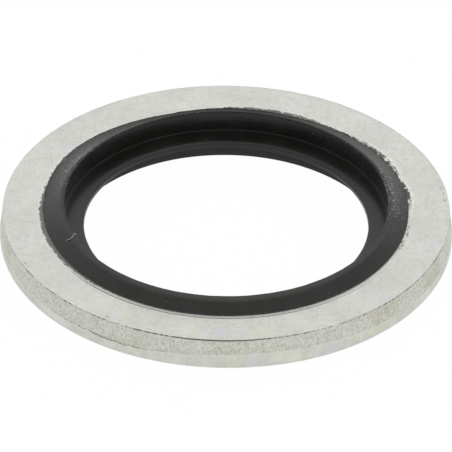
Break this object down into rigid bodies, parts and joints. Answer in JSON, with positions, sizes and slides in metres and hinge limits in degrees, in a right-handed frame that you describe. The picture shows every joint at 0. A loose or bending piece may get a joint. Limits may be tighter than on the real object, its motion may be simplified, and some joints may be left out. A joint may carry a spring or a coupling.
{
  "type": "bonded sealing washer",
  "caption": "Flat plated steel ring with a rubber seal bonded in its bore: raised lips seal on the joint faces and a thin web inside them centres the washer on a thread.",
  "frame": {"origin": "on the washer's axis, in the plane of the lower lip's crest, on which the washer lies", "axes": "+Z along the washer's axis, towards the face with the rolled bore edge; X and Y lie in the plane of the ring, which is round, so their direction is free"},
  "size_m": [0.026, 0.026, 0.003],
  "materials": {
    "zinc_plated_steel": "thin bright zinc plate on blanked mild steel, satin and faintly mottled, rough where the edge tore",
    "nitrile_rubber": "moulded black rubber, satin, with a few pale specks"
  },
  "bodies": {
    "root": {"steel_ring": "zinc_plated_steel", "rubber_seal": "nitrile_rubber"}
  },
  "joints": []
}
